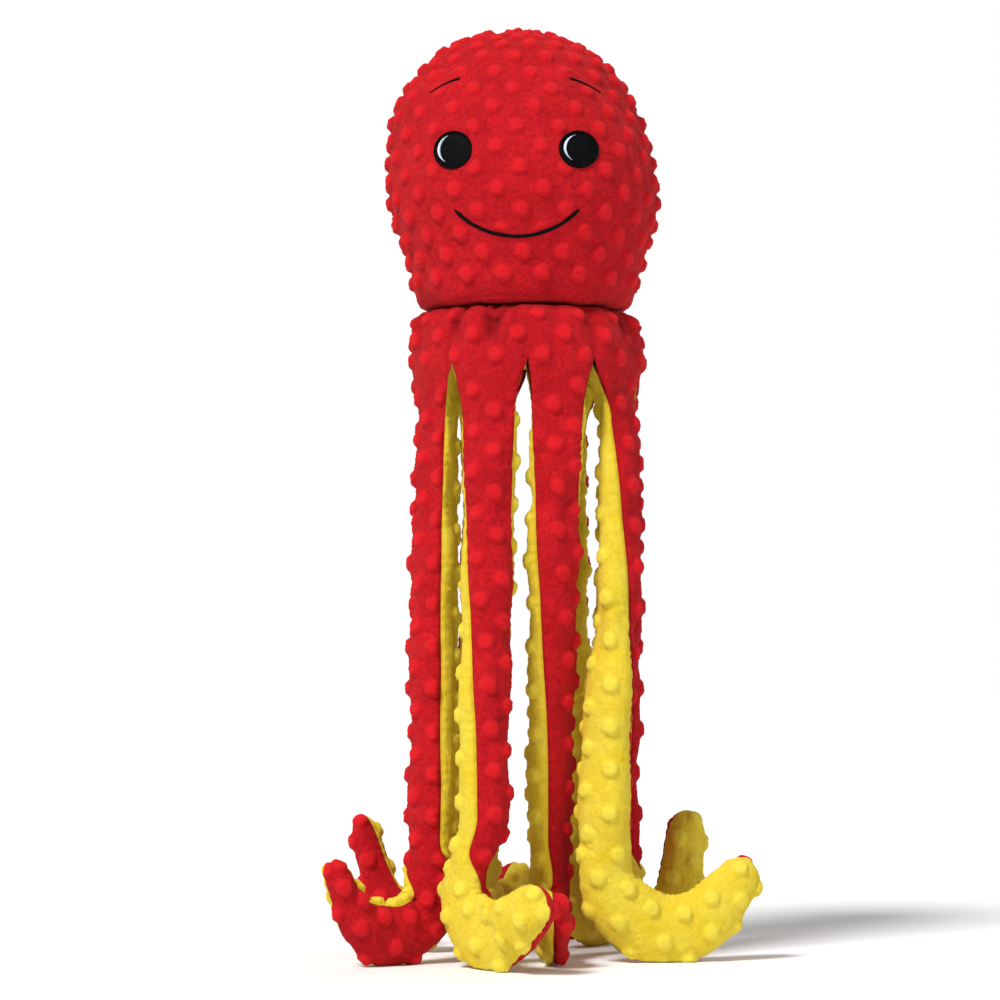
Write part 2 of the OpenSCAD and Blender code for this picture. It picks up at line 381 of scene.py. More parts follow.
def skirtFolds(angle, drop):   # gathers that hang from the neck seam, and a pinch above each slit
    fold = sum(size * mm * np.sin(count * angle + phase) for count, size, phase in skirtWaves)
    fold = fold * np.exp(-((drop / (21 * mm)) ** 2)) * mix(0.7, 1, ease(drop / (5 * mm)))
    r = np.random.default_rng(12)
    for _ in range(skirtTucks["count"]):
        at = r.uniform(-math.pi, math.pi)
        wide, deep, long = (r.uniform(*skirtTucks[k]) for k in ("wide", "deep", "long"))
        away = (angle - at + math.pi) % tau - math.pi + skirtTucks["slant"] * drop * r.normal() / neckR
        tuck = np.exp(-((away * neckR / (wide * mm)) ** 2)) * np.exp(-((drop / (long * mm)) ** 2))
        fold = fold - deep * mm * tuck
    for at in slits:
        away = ((angle - at + math.pi) % tau - math.pi) * skirtR
        above = (drop - slitDrop) / skirtPinch["long"]
        pinch = np.exp(-((away / skirtPinch["wide"]) ** 2)) * np.exp(-(above ** 2))
        fold = fold - skirtPinch["deep"] * pinch
    return fold


def skirtDots():
    columns = 16
    rows = (4.5, 17, 29.5)   # mm below the neck
    spots = []
    for j, drop in enumerate(rows):
        for i in range(columns):
            a = (i + 0.5 * (j % 2) + 0.3) / columns * tau
            spots.append(skirtPoint(np.array(a), np.array(drop * mm)))
    return np.array(spots)


def armLengths(arm):
    heelR, soleR, sweep, toe = arm["hook"]
    heel = armShape["heel"]
    hookZ = arm.get("foot", armShape["footWidth"]) * mm / 2 - armShape["soleSink"]
    hookZ += (heelR * math.sin(heel) + soleR * (1 - math.sin(heel))) * mm
    arc = (heelR * heel + soleR * (math.radians(sweep) - heel)) * mm
    return hookZ, neckZ - hookZ, arc, toe * mm + armShape["toeRound"]


def armSpine(name, d):   # centre, width way, thickness way and half sizes at d metres from the neck
    arm = arms[name]
    hinge = hinges[name + "_arm"]
    heelR, soleR, sweep, _ = arm["hook"]
    heelR, soleR, sweep, heel = heelR * mm, soleR * mm, math.radians(sweep), armShape["heel"]
    hookZ, leg, arc, tip = armLengths(arm)
    z = neckZ - d
    u = np.clip((hinge.z - z) / (hinge.z - hookZ), 0, 1)
    turn, footTurn = arm["turns"]
    late = armShape["ankle"]
    kickFrom = armShape["kickFrom"]
    angle = np.radians(arm["swing"] - 180 + turn * ease(u / armShape["knee"])
        + (footTurn - turn) * ease((u - late) / (1 - late)))
    way = flatDir(angle)
    thick = flatDir(angle + math.pi / 2)
    e = ease(u)
    ankle = np.array(arm["ankle"]) * mm
    outward = np.array([math.sin(math.radians(arm["swing"])), -math.cos(math.radians(arm["swing"]))])
    bowed = arm["bow"] * mm * np.sin(math.pi * np.clip(u / 0.75, 0, 1) ** 0.55)
    x = mix(hinge.x, ankle[0], e) + outward[0] * bowed
    y = mix(hinge.y, ankle[1], e) + outward[1] * bowed
    centre = np.stack([x, y, z], -1)
    kick = np.array(arm.get("kick", (0, 0))) * mm
    centre[:, :2] += kick * ease((u - kickFrom) / (1 - kickFrom))[:, None]
    halfW = mix(armShape["width"], armShape["width"] + 2 * mm, u) / 2
    halfT = np.full_like(d, armShape["thick"] / 2)

    foot = flatDir(np.radians(arm["swing"] - 180.0 + footTurn))
    up = np.array([0, 0, 1.0])

    def spoke(b):
        return -np.cos(b)[..., None] * foot - np.sin(b)[..., None] * up

    past = d - leg
    hooked = past > 0
    beta = np.where(past < heelR * heel, past / heelR, heel + (past - heelR * heel) / soleR)
    beta = np.clip(beta, 0, sweep)
    turned = spoke(np.minimum(beta, heel))
    bent = np.array([ankle[0] + kick[0], ankle[1] + kick[1], hookZ]) + heelR * (turned - spoke(np.array(0.0)))
    bent = bent + soleR * (spoke(np.maximum(beta, heel)) - spoke(np.array(heel)))
    along = np.clip(past - arc, 0, None)
    heading = np.sin(beta)[:, None] * foot - np.cos(beta)[:, None] * up
    centre = np.where(hooked[:, None], bent + heading * along[:, None], centre)
    way = np.where(hooked[:, None], -spoke(beta), way)
    wide, foots = armShape["width"] + 2 * mm, arm.get("foot", armShape["footWidth"]) * mm
    slim = foots * arm["toe"]
    hookW = mix(wide, foots, ease(beta / heel))
    flat = heelR * heel + soleR * (armShape["soleEnd"] - heel)
    hookW = mix(hookW, slim, ease((past - flat) / ((arc + tip - flat) * 0.95))) / 2
    halfW = np.where(hooked, hookW, halfW)
    halfT = np.where(hooked, halfT * mix(1, 0.86, np.clip(past / (arc + tip), 0, 1)), halfT)
    into = np.clip((along - (tip - armShape["toeRound"])) / armShape["toeRound"], 0, 1)
    shrink = np.sqrt(np.clip(1 - into ** 2.2, 0, 1))
    return centre, way, thick, halfW * shrink, halfT * shrink


def armPlace(name):
    arm = arms[name]
    left, right = (math.radians(a) for a in arm["sector"])
    redShare = armShape["redCols"] / armShape["cols"]
    hookStart = armLengths(arm)[1]

    def place(share, d):
        c, w, n, hw, ht = armSpine(name, d)
        red = share <= redShare
        a = np.where(red, share / redShare, (share - redShare) / (1 - redShare))
        low = ease((d - hookStart + 30 * mm) / (45 * mm))
        seam = np.radians(mix(armShape["seamForward"], armShape["seamFoot"], low))
        bend = np.where(red, mix(seam, math.pi - seam, a), mix(math.pi - seam, tau + seam, a))
        bend = bend + math.radians(arm.get("roll", 0)) * low
        lumps = 1 + 0.05 * np.sin(d / (33 * mm) * tau / 2 + arm["swing"]) * ease((d - 60 * mm) / (60 * mm))
        tube = c + w * (lumps * hw * np.cos(bend))[:, None] + n * (lumps * ht * np.sin(bend))[:, None]
        tube[:, 2] = np.maximum(tube[:, 2], 0.2 * mm)
        around = np.where(red, mix(left, right, a), mix(right, left, a))
        outer = skirtPoint(around, d)
        dip = np.sin(np.pi * a) ** 0.45
        r = mix(np.hypot(outer[:, 0], outer[:, 1]), armShape["hollow"], dip)
        inner = np.stack([r * np.sin(around), -r * np.cos(around), neckZ - d], -1)
        skirt = np.where(red[:, None], outer, inner)
        edge = np.abs(2 * a - 1) ** 2
        parted = (d - slitDrop) / (32 * mm)
        loose = mix(ease((d - slitDrop + 2 * mm) / (34 * mm)), 0.2 * ease(parted * 7) + 0.8 * ease(parted), edge)
        return mix(skirt, tube, loose[:, None])

    return place


def armRows(arm):
    _, leg, arc, tip = armLengths(arm)
    straight = leg + arc + tip - armShape["toeRound"]
    count = int(straight / armShape["rowGap"])
    rows = list(np.linspace(0, straight, count))
    steps = armShape["toeSteps"]
    rows += [straight + armShape["toeRound"] * math.sin(math.pi / 2 * k / steps) for k in range(1, steps + 1)]
    return rows


def buildArmForm(name):
    arm = arms[name]
    cols = armShape["cols"]
    redShare = armShape["redCols"] / cols
    obj = wrapGrid(name + "Form", cols, armRows(arm), armPlace(name), lambda s: 0 if s < redShare else 1,
        (0, armShape["redCols"]), 1.0)
    share, d = clothShares(obj.data)
    pinned = ease((slitDrop + 14 * mm - d) / (12 * mm))
    low = getPoints(obj.data)[:, 2] < 1.5 * mm
    pinned = np.maximum(pinned, 0.7 * low)
    atSeam = np.minimum.reduce([share, np.abs(share - redShare), 1 - share]) < 0.01
    queueStuffing(obj, pinned, atSeam * 1.0, 3 * mm)
    return obj


# depths, and how far the leg's creases reach, are in mm
creaseLook = {"seamDip": 0.9 * mm, "pucker": 0.5 * mm, "puckerPitch": (7.5 * mm, 31 * mm),
    "ankleSlopes": (-1.1, -0.35, 0.3, 1.0), "ankleDepth": (0.8, 1.7), "ankleWidth": 1.9 * mm,
    "ankleReach": 11 * mm, "ankleDrop": 12 * mm, "legCount": 7, "legDepth": (0.4, 0.9), "legWidth": 1.8 * mm,
    "legReach": (5, 12)}


def slackCreases(r, share, around, d, leg):
    total = np.zeros(len(d))
    inner = np.minimum(share, 1 - share) * around   # creases fan out from inside the ankle
    for slope in creaseLook["ankleSlopes"]:
        line = np.abs(d - leg - creaseLook["ankleDrop"] - slope * inner) / math.hypot(1, slope)
        crease = np.exp(-((line / creaseLook["ankleWidth"]) ** 2)) * np.exp(-inner / creaseLook["ankleReach"])
        total += r.uniform(*creaseLook["ankleDepth"]) * mm * crease
    for _ in range(creaseLook["legCount"]):   # slack cloth creases across the leg
        at, side = r.uniform(slitDrop + 40 * mm, leg), r.uniform(0, 1)
        long = r.uniform(*creaseLook["legReach"]) * mm
        across = ((share - side + 0.5) % 1 - 0.5) * around
        line = np.abs(d - at - across * r.uniform(-0.5, 0.5))
        crease = np.exp(-((line / creaseLook["legWidth"]) ** 2)) * np.exp(-((across / long) ** 2))
        total += r.uniform(*creaseLook["legDepth"]) * mm * crease
    return total


def dressArm(obj, name, order, panels):   # panels are (first share, last share, metres wide)
    mesh = obj.data
    share, d = clothShares(mesh)
    share[share > 0.9999] = 0   # the first column again, once round
    co = getPoints(mesh)
    normal = getNormals(mesh)
    leg = armLengths(arms[name])[1]
    spots = []
    for k, (low, high, wide) in enumerate(panels):
        for x, y in latticeDots(wide, slitDrop + 8 * mm, d.max(), (order * 0.37 + k * 0.21) % 1):
            at = (low + high) / 2 + x / wide * (high - low)
            spots.append(co[np.argmin(((share - at) * wide / (high - low)) ** 2 + (d - y) ** 2)])
    around = sum(w for _, _, w in panels)
    seams = (0, panels[0][1])
    away = np.min([np.minimum(np.abs(share - s), 1 - np.abs(share - s)) for s in seams], axis=0) * around
    free = ease((d - slitDrop) / (10 * mm))   # 0 on the skirt and 1 on the arm itself
    clear = mix(1, ease(away / plushLook["seamClear"]), free)
    armDots = pillow(nearest(co, np.array(spots)), plushLook["dotReach"]) * clear * free
    angle = np.arctan2(co[:, 0], -co[:, 1])
    outside = share <= panels[0][1] + 1e-6
    bandDots = pillow(nearest(co, skirtDots()), plushLook["dotReach"]) * (1 - free) * outside
    dots = np.maximum(armDots, bandDots)

    r = np.random.default_rng(order)
    pitch, swell = creaseLook["puckerPitch"]
    pucker = np.sin(d / pitch * tau + 2 * np.sin(d / swell * tau + order)) * np.exp(-away / (5 * mm))
    out = creaseLook["pucker"] * pucker * ease(away / (2 * mm)) * free
    out += plushLook["dotRise"] * mix(1, r.uniform(0.85, 1.1), free) * dots
    onSkirt = 0.5 * mm * smoothNoise(co, 40 * mm, 30)
    onArm = 0.6 * mm * smoothNoise(co, 34 * mm, 31 + order) * clear
    out += mix(onSkirt, onArm, free)
    out -= creaseLook["seamDip"] * (1 - ease(away / plushLook["seamWidth"])) * free
    fleecy = ease(away / plushLook["seamClear"]) * ease((d.max() - d) / (8 * mm))
    out += r.normal(size=len(out)) * plushLook["fuzz"] * fleecy * mix(0.5, 1, free)
    out -= slackCreases(r, share, around, d, leg)

    radial = np.stack([np.sin(angle), -np.cos(angle), 0 * angle], -1)
    hang = ((1 - free) * outside)[:, None]
    way = normal * (1 - hang) + radial * hang
    out = np.where(outside, out, out * free)
    folds = hang[:, 0] * skirtFolds(angle, neckZ - co[:, 2])
    co = co + way * out[:, None] + radial * folds[:, None]
    co[:, 2] = np.maximum(co[:, 2], 0.05 * mm)
    setPoints(mesh, co)
    addMask(mesh, "dots", dots)
    # painted shade: fold valleys and the band just below the neck are darkened, together with the seams' painted
    # shadow, in the seam mask
    foldShade = hang[:, 0] * np.maximum(ease(-folds / (4.5 * mm)), 0.6 * (1 - ease(d / (5 * mm))))
    addMask(mesh, "seam", np.maximum((1 - ease(away / plushLook["seamShadow"])) * free, foldShade))


def finishArm(obj, name, order, reds, yellows):
    subdivide(obj, 2)
    redShare = armShape["redCols"] / armShape["cols"]
    dressArm(obj, name, order, [(0, redShare, armShape["redWide"]), (redShare, 1, armShape["yellowWide"])])
    face = takePanel(obj, 0, name + "ArmFace")
    lining = takePanel(obj, 1, name + "ArmLining")
    bm = bmesh.new()
    bm.from_mesh(lining.data)
    hidden = [v for v in bm.verts if v.co.z > skirtZ + 1 * mm]
    bmesh.ops.delete(bm, geom=hidden, context="VERTS")
    bm.to_mesh(lining.data)
    bm.free()
    bpy.data.objects.remove(obj)
    body = name + "_arm"
    for piece, paint, slotName, nodes in (
        (face, reds, "red_plush", [body + "_face", body + "_stuffing", "skirt_band", "skirt_stuffing"]),
        (lining, yellows, "yellow_plush", [body + "_lining"]),
    ):
        smoothShade(piece.data)
        piece.data.materials.clear()
        piece.data.materials.append(paint)
        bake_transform(piece)
        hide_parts(*nodes)


headLine = {   # the widest radius is share 1, and the crown is height 1
    "share": [0.815, 0.855, 0.92, 0.99, 1, 0.985, 0.955, 0.92, 0.87, 0.8, 0.715, 0.58, 0.43, 0.26, 0.12, 0],
    "height": [0.05, 0.15, 0.25, 0.37, 0.45, 0.53, 0.61, 0.68, 0.745, 0.8, 0.86, 0.915, 0.945, 0.968, 0.985, 1],
    "swell": 2.5 * mm, "rim": 3 * mm}
headShape = {"cols": 44, "rows": 40, "levels": 3, "seams": (10, 90, 170), "crown": 1.1 * mm, "tip": 0.8 * mm,
    "slack": 1.0 * mm, "seamDip": 1.1 * mm, "faceRise": 2.0 * mm, "columns": 19,
    "dotRow": 78 * mm, "dotTurn": -0.03}
# no dots this near the stitching
headFlat = {"eyes": 5 * mm, "smile": 4 * mm, "brows": 4 * mm, "faceFrom": -20 * mm}
headLean = {"above": [0, 45, 75, 100, 121, 140, 155, 172], "shift": [1.5, 1.2, 0, -1.8, -4.6, -4.4, -3.2, -1.2]}
face = {"turn": math.radians(-3.3), "eyeX": 79.2 * math.sin(math.radians(27)) * mm, "eyeZ": neckZ + 89.4 * mm,
    "eyeR": 11.5 * mm, "rim": 1.3 * mm, "leftEyeOut": 1.4 * mm, "glintWidth": 1.7 * mm, "smileR": 49 * mm,
    "smileDrop": 2 * mm, "smileFrom": 222, "smileTo": 318, "line": 2.3 * mm}


def headProfile():   # the outline from the middle of the base to the crown
    low = neckZ + 0.5 * mm
    tall = headTop - low
    rim = neckR + headLine["rim"]
    r = [0, neckR * 0.55, rim - 5 * mm, rim - 1.8 * mm, rim]
    z = [low + 1.5 * mm, low + 0.8 * mm, low, low + 0.6 * mm, low + 3.2 * mm]
    widest = headR + headLine["swell"]
    r += [s * widest for s in headLine["share"]]
    z += [low + s * tall for s in headLine["height"]]
    r, z = np.array(r), np.array(z)
    for _ in range(3):   # corner cutting rounds the outline
        r2 = np.repeat(r, 2)[1:-1]
        z2 = np.repeat(z, 2)[1:-1]
        r2[0::2], r2[1::2] = 0.75 * r[:-1] + 0.25 * r[1:], 0.25 * r[:-1] + 0.75 * r[1:]
        z2[0::2], z2[1::2] = 0.75 * z[:-1] + 0.25 * z[1:], 0.25 * z[:-1] + 0.75 * z[1:]
        r = np.concatenate([r[:1], r2, r[-1:]])
        z = np.concatenate([z[:1], z2, z[-1:]])
    r = mix(r, r * widest / r.max(), np.clip((z - low) / (30 * mm), 0, 1))
    step = np.concatenate([[0], np.cumsum(np.hypot(np.diff(r), np.diff(z)))])
    return r, z, step


def buildHeadForm():
    r, z, step = headProfile()
    cols = headShape["cols"]
    along = list(np.linspace(0, step[-1], headShape["rows"] + 1))

    def place(share, d):
        angle = share * tau
        radius = np.interp(d, step, r)
        height = np.interp(d, step, z)
        above = height - neckZ
        pucker = np.sin(angle * 33 + 2 * np.sin(angle * 4)) * 0.9 * mm * np.exp(-((above / (9 * mm)) ** 1.5))
        radius = radius + pucker * (radius > 0.5 * neckR)
        shift = np.interp(above / mm, headLean["above"], headLean["shift"]) * mm
        wave = np.sin(9 * angle + 1) + np.sin(14 * angle) + 2
        height = height + 0.5 * mm * wave * np.exp(-above / (6 * mm)) * (radius > 0.5 * neckR)
        return np.stack([radius * np.cos(angle) + shift, radius * np.sin(angle), height], -1)

    def panelOf(share):
        degrees = share * 360
        side = headShape["seams"]
        return 1 if side[0] < degrees < side[1] else 2 if side[1] <= degrees < side[2] else 0

    seamCols = [round(s / 360 * cols) for s in headShape["seams"]]
    obj = wrapGrid("headForm", cols, along, place, panelOf, (), 0)
    share, d = clothShares(obj.data)
    atSeam = np.minimum.reduce([np.abs(share - c / cols) for c in seamCols]) < 0.4 / cols
    pinned = ease((neckR + 6 * mm - d) / (8 * mm))
    queueStuffing(obj, pinned, atSeam * 1.0, 2 * mm)
    return obj


def headDots(step, r, z):
    spots = []
    first = step[np.argmax(z > neckZ + headShape["dotRow"])]
    columns = headShape["columns"]
    for j in range(-6, 14):
        y = first + j * plushLook["pitchAlong"] / 2
        ringR, ringZ = np.interp(y, step, r), np.interp(y, step, z)
        if ringR < 5 * mm or ringZ < neckZ + 6 * mm or y > step[-1]:
            continue
        shift = np.interp((ringZ - neckZ) / mm, headLean["above"], headLean["shift"]) * mm
        for i in range(0, columns, 1 if ringR > 34 * mm else 2):
            a = (i + 0.5 * (j % 2)) / columns * tau - math.pi / 2 + headShape["dotTurn"]
            spots.append((ringR * math.cos(a) + shift, ringR * math.sin(a), ringZ))
    return np.array(spots)


def faceClear(co):   # 0 under the eyes, the smile and the brows, 1 away from them
    x = co[:, 0] * math.cos(face["turn"]) + co[:, 1] * math.sin(face["turn"])
    z = co[:, 2]
    front = co[:, 1] < headFlat["faceFrom"]
    eyeWay = np.hypot(np.abs(x) - face["eyeX"], z - face["eyeZ"])
    eyes = np.where(front, ease((eyeWay - face["eyeR"] + 1 * mm) / headFlat["eyes"]), 1)
    smileWay = np.abs(np.hypot(x, z - (face["eyeZ"] - face["smileDrop"])) - face["smileR"])
    below = z < face["eyeZ"] - 30 * mm
    smile = np.where(front & below, mix(0.25, 1, ease((smileWay - 1 * mm) / headFlat["smile"])), 1)
    brows = np.ones(len(x))
    for side in (-1, 1):
        for t in np.linspace(0, 1, 9):
            bx, bz = browLine(side)(t)
            brows = np.minimum(brows, ease((np.hypot(x - bx, z - bz) - 1 * mm) / headFlat["brows"]))
    return eyes * smile * np.where(front, mix(0.2, 1, brows), 1)


def finishHead(obj, paint):
    subdivide(obj, headShape["levels"])
    mesh = obj.data
    co = getPoints(mesh)
    normal = getNormals(mesh)
    angle = np.arctan2(co[:, 1], co[:, 0])
    radius = np.hypot(co[:, 0], co[:, 1])
    r, z, step = headProfile()
    seamWay = np.min([np.abs((np.degrees(angle) - s + 180) % 360 - 180) for s in headShape["seams"]], axis=0)
    seamWay = np.radians(seamWay) * radius
    base = co[:, 2] < neckZ + 4 * mm

    near = nearest(co, headDots(step, r, z))
    clear = ease(seamWay / plushLook["seamClear"])
    dots = pillow(near, plushLook["dotReach"]) * clear * faceClear(co) * ~base
    rise = mix(plushLook["dotRise"] * 1.15, headShape["faceRise"], ease(-co[:, 1] / headR - 0.2))
    out = rise * dots
    crown = co[:, 2] > neckZ + 120 * mm
    gather = np.sin(angle * 13 + 1.7 * np.sin(angle * 4)) * ease((60 * mm - radius) / (40 * mm))
    gather *= ease((radius - 3 * mm) / (16 * mm))
    out += headShape["crown"] * gather * crown
    out += headShape["slack"] * smoothNoise(co, 55 * mm, 5) * ~base
    out -= headShape["seamDip"] * (1 - ease(seamWay / plushLook["seamWidth"])) * ~base
    fleecy = ~base * ease(radius / (14 * mm)) * ease(seamWay / (3 * mm))
    out += rng.normal(size=len(out)) * plushLook["fuzz"] * fleecy
    out += headShape["tip"] * np.exp(-((radius / (9 * mm)) ** 2)) * crown
    setPoints(mesh, co + normal * out[:, None])
    addMask(mesh, "dots", dots)
    addMask(mesh, "seam", (1 - ease(seamWay / plushLook["seamShadow"])) * ~base)
    pieces = []
    for index, name, nodes in (
        (0, "headFrontPanel", ["head_front_panel", "head_base_disc", "head_stuffing"]),
        (1, "headBackRightPanel", ["head_back_right_panel"]),
        (2, "headBackLeftPanel", ["head_back_left_panel"]),
    ):
        piece = takePanel(obj, index, name)
        smoothShade(piece.data)
        piece.data.materials.clear()
        piece.data.materials.append(paint)
        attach(piece, "head")
        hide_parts(*nodes)
        pieces.append(piece)
    bpy.data.objects.remove(obj)
    return pieces[0]


def browLine(side):   # from the nose side outwards, in the face's own x and z
    brow = {"inner": (32, 133.4), "outer": (50, 126.4), "bulge": 0.96, "aside": -2}

    def line(t):
        x = side * mix(brow["inner"][0], brow["outer"][0], t) + brow["aside"]
        z = mix(brow["inner"][1], brow["outer"][1], t) + brow["bulge"] * 4 * t * (1 - t)
        return x * mm, neckZ + z * mm
    return line


def projector(head):
    bm = bmesh.new()
    bm.from_mesh(head.data)
    tree = BVHTree.FromBMesh(bm)
    bm.free()
    c, s = math.cos(face["turn"]), math.sin(face["turn"])

    def project(x, z, lift):
        start = Vector((x * c + 0.3 * s, x * s - 0.3 * c, z))
        hit, _, _, _ = tree.ray_cast(start, Vector((-s, c, 0)))
        soft = Vector((hit.x, hit.y, 0)).normalized()
        return hit + soft * lift

    return project


def finishStitch(obj, paint, node):
    smoothShade(obj.data)
    obj.data.materials.append(paint)
    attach(obj, "head")
    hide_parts(node)


def stitchedBand(name, project, line, half, count, lift, paint, node, closed=False):
    bm = bmesh.new()
    bmesh.ops.create_grid(bm, x_segments=count, y_segments=8, size=0.5)
    for v in bm.verts:
        t, s = v.co.x + 0.5, v.co.y * 2
        x0, z0 = line(t)
        x1, z1 = line(min(1.0, t + 1e-3)) if t < 0.5 else (x0, z0)
        xb, zb = line(t) if t < 0.5 else line(t - 1e-3)
        way = Vector((x1 - xb, z1 - zb))
        way = way.normalized() if way.length > 0 else Vector((1, 0))
        wide = half(t) * s
        px, pz = x0 - way.y * wide, z0 + way.x * wide
        thread = stitchLook["ridge"] * math.cos(t * count * math.pi)
        high = lift * math.sqrt(max(0.0, 1 - s * s)) - 0.35 * mm + thread * (1 - s * s)
        v.co = project(px, pz, high)
    if closed:
        bmesh.ops.remove_doubles(bm, verts=bm.verts, dist=0.02 * mm)
    bmesh.ops.recalc_face_normals(bm, faces=bm.faces)
    turnOutwards(bm)
    obj = meshObject(name, bm)
    finishStitch(obj, paint, node)


def turnOutwards(bm):
    if sum(f.normal.y for f in bm.faces) > 0:
        bmesh.ops.reverse_faces(bm, faces=bm.faces)


def stitchedDisc(name, project, middle, radius, lift, paint, node):
    bm = bmesh.new()
    bmesh.ops.create_grid(bm, x_segments=52, y_segments=52, size=1)
    for v in bm.verts:
        u, w = onDisc(v.co.x, v.co.y)
        thread = stitchLook["ridge"] * math.sin(u * radius / stitchLook["pitch"] * tau)
        high = lift * math.sqrt(max(0.0, 1.02 - u * u - w * w)) - 0.3 * mm + thread
        v.co = project(middle[0] + u * radius, middle[1] + w * radius, high)
    bmesh.ops.recalc_face_normals(bm, faces=bm.faces)
    turnOutwards(bm)
    obj = meshObject(name, bm)
    finishStitch(obj, paint, node)


def arcLine(cx, cz, r, a0, a1):
    def line(t):
        a = math.radians(mix(a0, a1, t))
        return cx + r * math.cos(a), cz + r * math.sin(a)
    return line


def tapered(width, share):
    return lambda t: width / 2 * min(1, math.sqrt(max(0.02, min(t, 1 - t) / share)))


def buildFace(head, blackThread, whiteThread):
    project = projector(head)
    eyeX, eyeZ, eyeR = face["eyeX"], face["eyeZ"], face["eyeR"]
    rim = face["rim"]
    for side, word in ((-1, "left"), (1, "right")):
        x = side * eyeX - (face["leftEyeOut"] if side < 0 else 0)
        stitchedDisc(word + "Eye", project, (x, eyeZ), eyeR - rim * 0.7, 1.2 * mm, blackThread,
            word + "_eye")
        stitchedBand(word + "EyeRim", project, arcLine(x, eyeZ, eyeR - rim / 2, 0, 360), lambda t: rim / 2, 120,
            1.5 * mm, blackThread, word + "_eye_rim", closed=True)
        stitchedBand(word + "EyeGlint", project, arcLine(x + 0.6 * mm, eyeZ + 0.4 * mm, eyeR * 0.75, 112, 236),
            lambda t: face["glintWidth"] / 2 * math.sin(math.pi * max(0.04, min(0.96, t))), 40, 2.0 * mm, whiteThread,
            word + "_eye_glint")
        stitchedBand(word + "Brow", project, browLine(side), lambda t: mix(0.95, 0.35, t) * mm, 44, 1.1 * mm,
            blackThread, word + "_brow")
    smile = arcLine(0, eyeZ - face["smileDrop"], face["smileR"], face["smileFrom"], face["smileTo"])
    stitchedBand("smile", project, smile, tapered(face["line"], 0.04), 150, 1.3 * mm, blackThread,
        "smile")


def buildSkirtFloor(paint):
    bm = bmesh.new()
    bmesh.ops.create_grid(bm, x_segments=48, y_segments=48, size=1)
    look = {"inset": 7 * mm, "bulge": 2.2 * mm, "wall": 1.4 * mm, "dotRise": 2 * mm}
    radius = skirtR - look["inset"]
    for v in bm.verts:
        u, w = onDisc(v.co.x, v.co.y)
        bulge = look["bulge"] * (1 - u * u - w * w)
        v.co = (u * radius, w * radius, skirtZ + 1 * mm - bulge)
    bmesh.ops.reverse_faces(bm, faces=bm.faces)
    obj = meshObject("skirtFloor", bm)
    mod = obj.modifiers.new("wall", "SOLIDIFY")
    mod.thickness = look["wall"]
    mod.offset = -1
    bakeModifiers(obj)
    co = getPoints(obj.data)
    across, along = plushLook["pitchAcross"], plushLook["pitchAlong"] / 2
    spots = [((x + (y % 2) / 2) * across, y * along, skirtZ - 1 * mm) for x in range(-3, 4) for y in range(-6, 7)]
    dots = pillow(nearest(co, np.array(spots)), plushLook["dotReach"]) * (co[:, 2] < skirtZ + 1.1 * mm)
    co[:, 2] -= look["dotRise"] * dots
    setPoints(obj.data, co)
    addMask(obj.data, "dots", dots)
    addMask(obj.data, "seam", dots * 0)
    smoothShade(obj.data)
    obj.data.materials.append(paint)
    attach(obj, "skirt")
    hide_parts("skirt_floor")


def napGroup():   # short pile: a fine grain, brushed patches and a soft tone that changes over the cloth
    group = bpy.data.node_groups.new("shortPile", "ShaderNodeTree")
    sockets = group.interface
    for name, value in (("Grain Scale", 1500.0), ("Brush Scale", 60.0)):
        sockets.new_socket(name=name, in_out="INPUT", socket_type="NodeSocketFloat").default_value = value
    for name in ("Tone", "Height", "Shade"):
        sockets.new_socket(name=name, in_out="OUTPUT", socket_type="NodeSocketFloat")
    nodes, links = group.nodes, group.links
    gin, gout = nodes.new("NodeGroupInput"), nodes.new("NodeGroupOutput")
    coord = nodes.new("ShaderNodeTexCoord")
    grain, brush, strand = (nodes.new("ShaderNodeTexNoise") for _ in range(3))
    grain.inputs["Detail"].default_value = 3
    grain.inputs["Roughness"].default_value = 0.65
    brush.inputs["Detail"].default_value = 4
    brush.inputs["Distortion"].default_value = 0.8
    strand.inputs["Scale"].default_value = 420   # tufts a little coarser than the grain
    strand.inputs["Detail"].default_value = 2
    strand.inputs["Distortion"].default_value = 0.6
    for tex in (grain, brush, strand):
        links.new(coord.outputs["Object"], tex.inputs["Vector"])
    links.new(gin.outputs["Grain Scale"], grain.inputs["Scale"])
    links.new(gin.outputs["Brush Scale"], brush.inputs["Scale"])
    height = nodes.new("ShaderNodeMath")
    height.operation = "MULTIPLY_ADD"
    links.new(strand.outputs["Fac"], height.inputs[0])
    height.inputs[1].default_value = 0.6
    links.new(grain.outputs["Fac"], height.inputs[2])
    links.new(height.outputs[0], gout.inputs["Height"])
    tone = nodes.new("ShaderNodeMapRange")
    tone.inputs["From Min"].default_value = 0.3
    tone.inputs["From Max"].default_value = 0.7
    links.new(brush.outputs["Fac"], tone.inputs["Value"])
    links.new(tone.outputs["Result"], gout.inputs["Tone"])
    shade = nodes.new("ShaderNodeMath")
    shade.operation = "MULTIPLY"
    links.new(grain.outputs["Fac"], shade.inputs[0])
    links.new(strand.outputs["Fac"], shade.inputs[1])
    links.new(shade.outputs[0], gout.inputs["Shade"])
    return group


